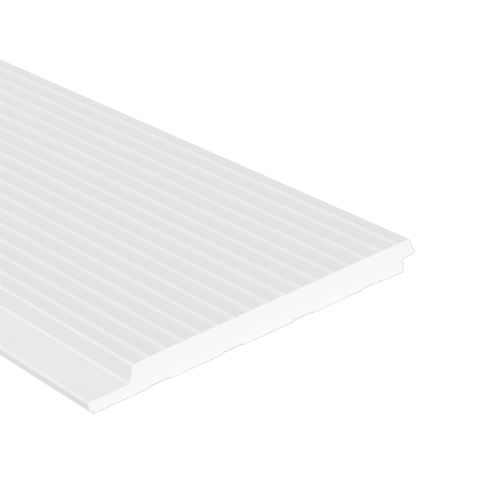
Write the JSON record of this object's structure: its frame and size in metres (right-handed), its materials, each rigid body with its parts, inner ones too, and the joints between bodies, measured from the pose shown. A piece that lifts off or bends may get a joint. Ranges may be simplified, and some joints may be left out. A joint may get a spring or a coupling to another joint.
{
  "type": "polystyrene wall panel",
  "caption": "Flat foam wall cladding panel with a finely ribbed face, a stepped flange along one edge and an overlapping lip along the other.",
  "frame": {"origin": "middle of the back face, which lies on the floor or against the wall", "axes": "+X across the panel from the flange to the lip, +Y along its length, +Z from the back to the ribbed face"},
  "size_m": [0.2508, 2, 0.021],
  "materials": {
    "polystyrene": "smooth white extruded polystyrene, matte"
  },
  "bodies": {
    "root": {"wall_panel": "polystyrene"}
  },
  "joints": []
}
